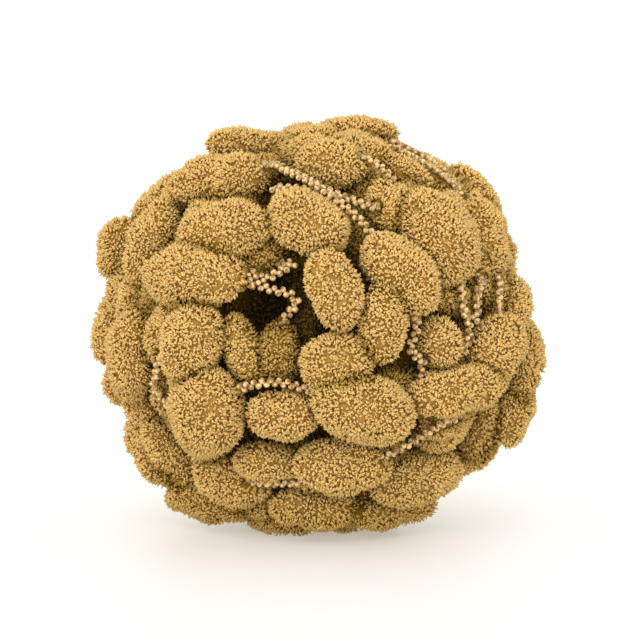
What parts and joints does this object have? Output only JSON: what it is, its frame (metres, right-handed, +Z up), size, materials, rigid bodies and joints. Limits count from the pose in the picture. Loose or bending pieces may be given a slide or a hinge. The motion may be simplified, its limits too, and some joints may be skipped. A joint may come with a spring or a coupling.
{
  "type": "ball of pompom yarn",
  "caption": "Ball wound from a golden-brown yarn of plush pompoms joined by a braided bead chain, with a deep open hollow between the turns on its front.",
  "frame": {"origin": "on the table, under the middle of the ball's outline seen from above", "axes": "+Z up from the table; -Y is the side with the deep hollow"},
  "size_m": [0.1738, 0.1712, 0.1584],
  "materials": {
    "yarn_pile": "plush pile"
  },
  "bodies": {
    "root": {"yarn_ball": "yarn_pile"}
  },
  "joints": []
}
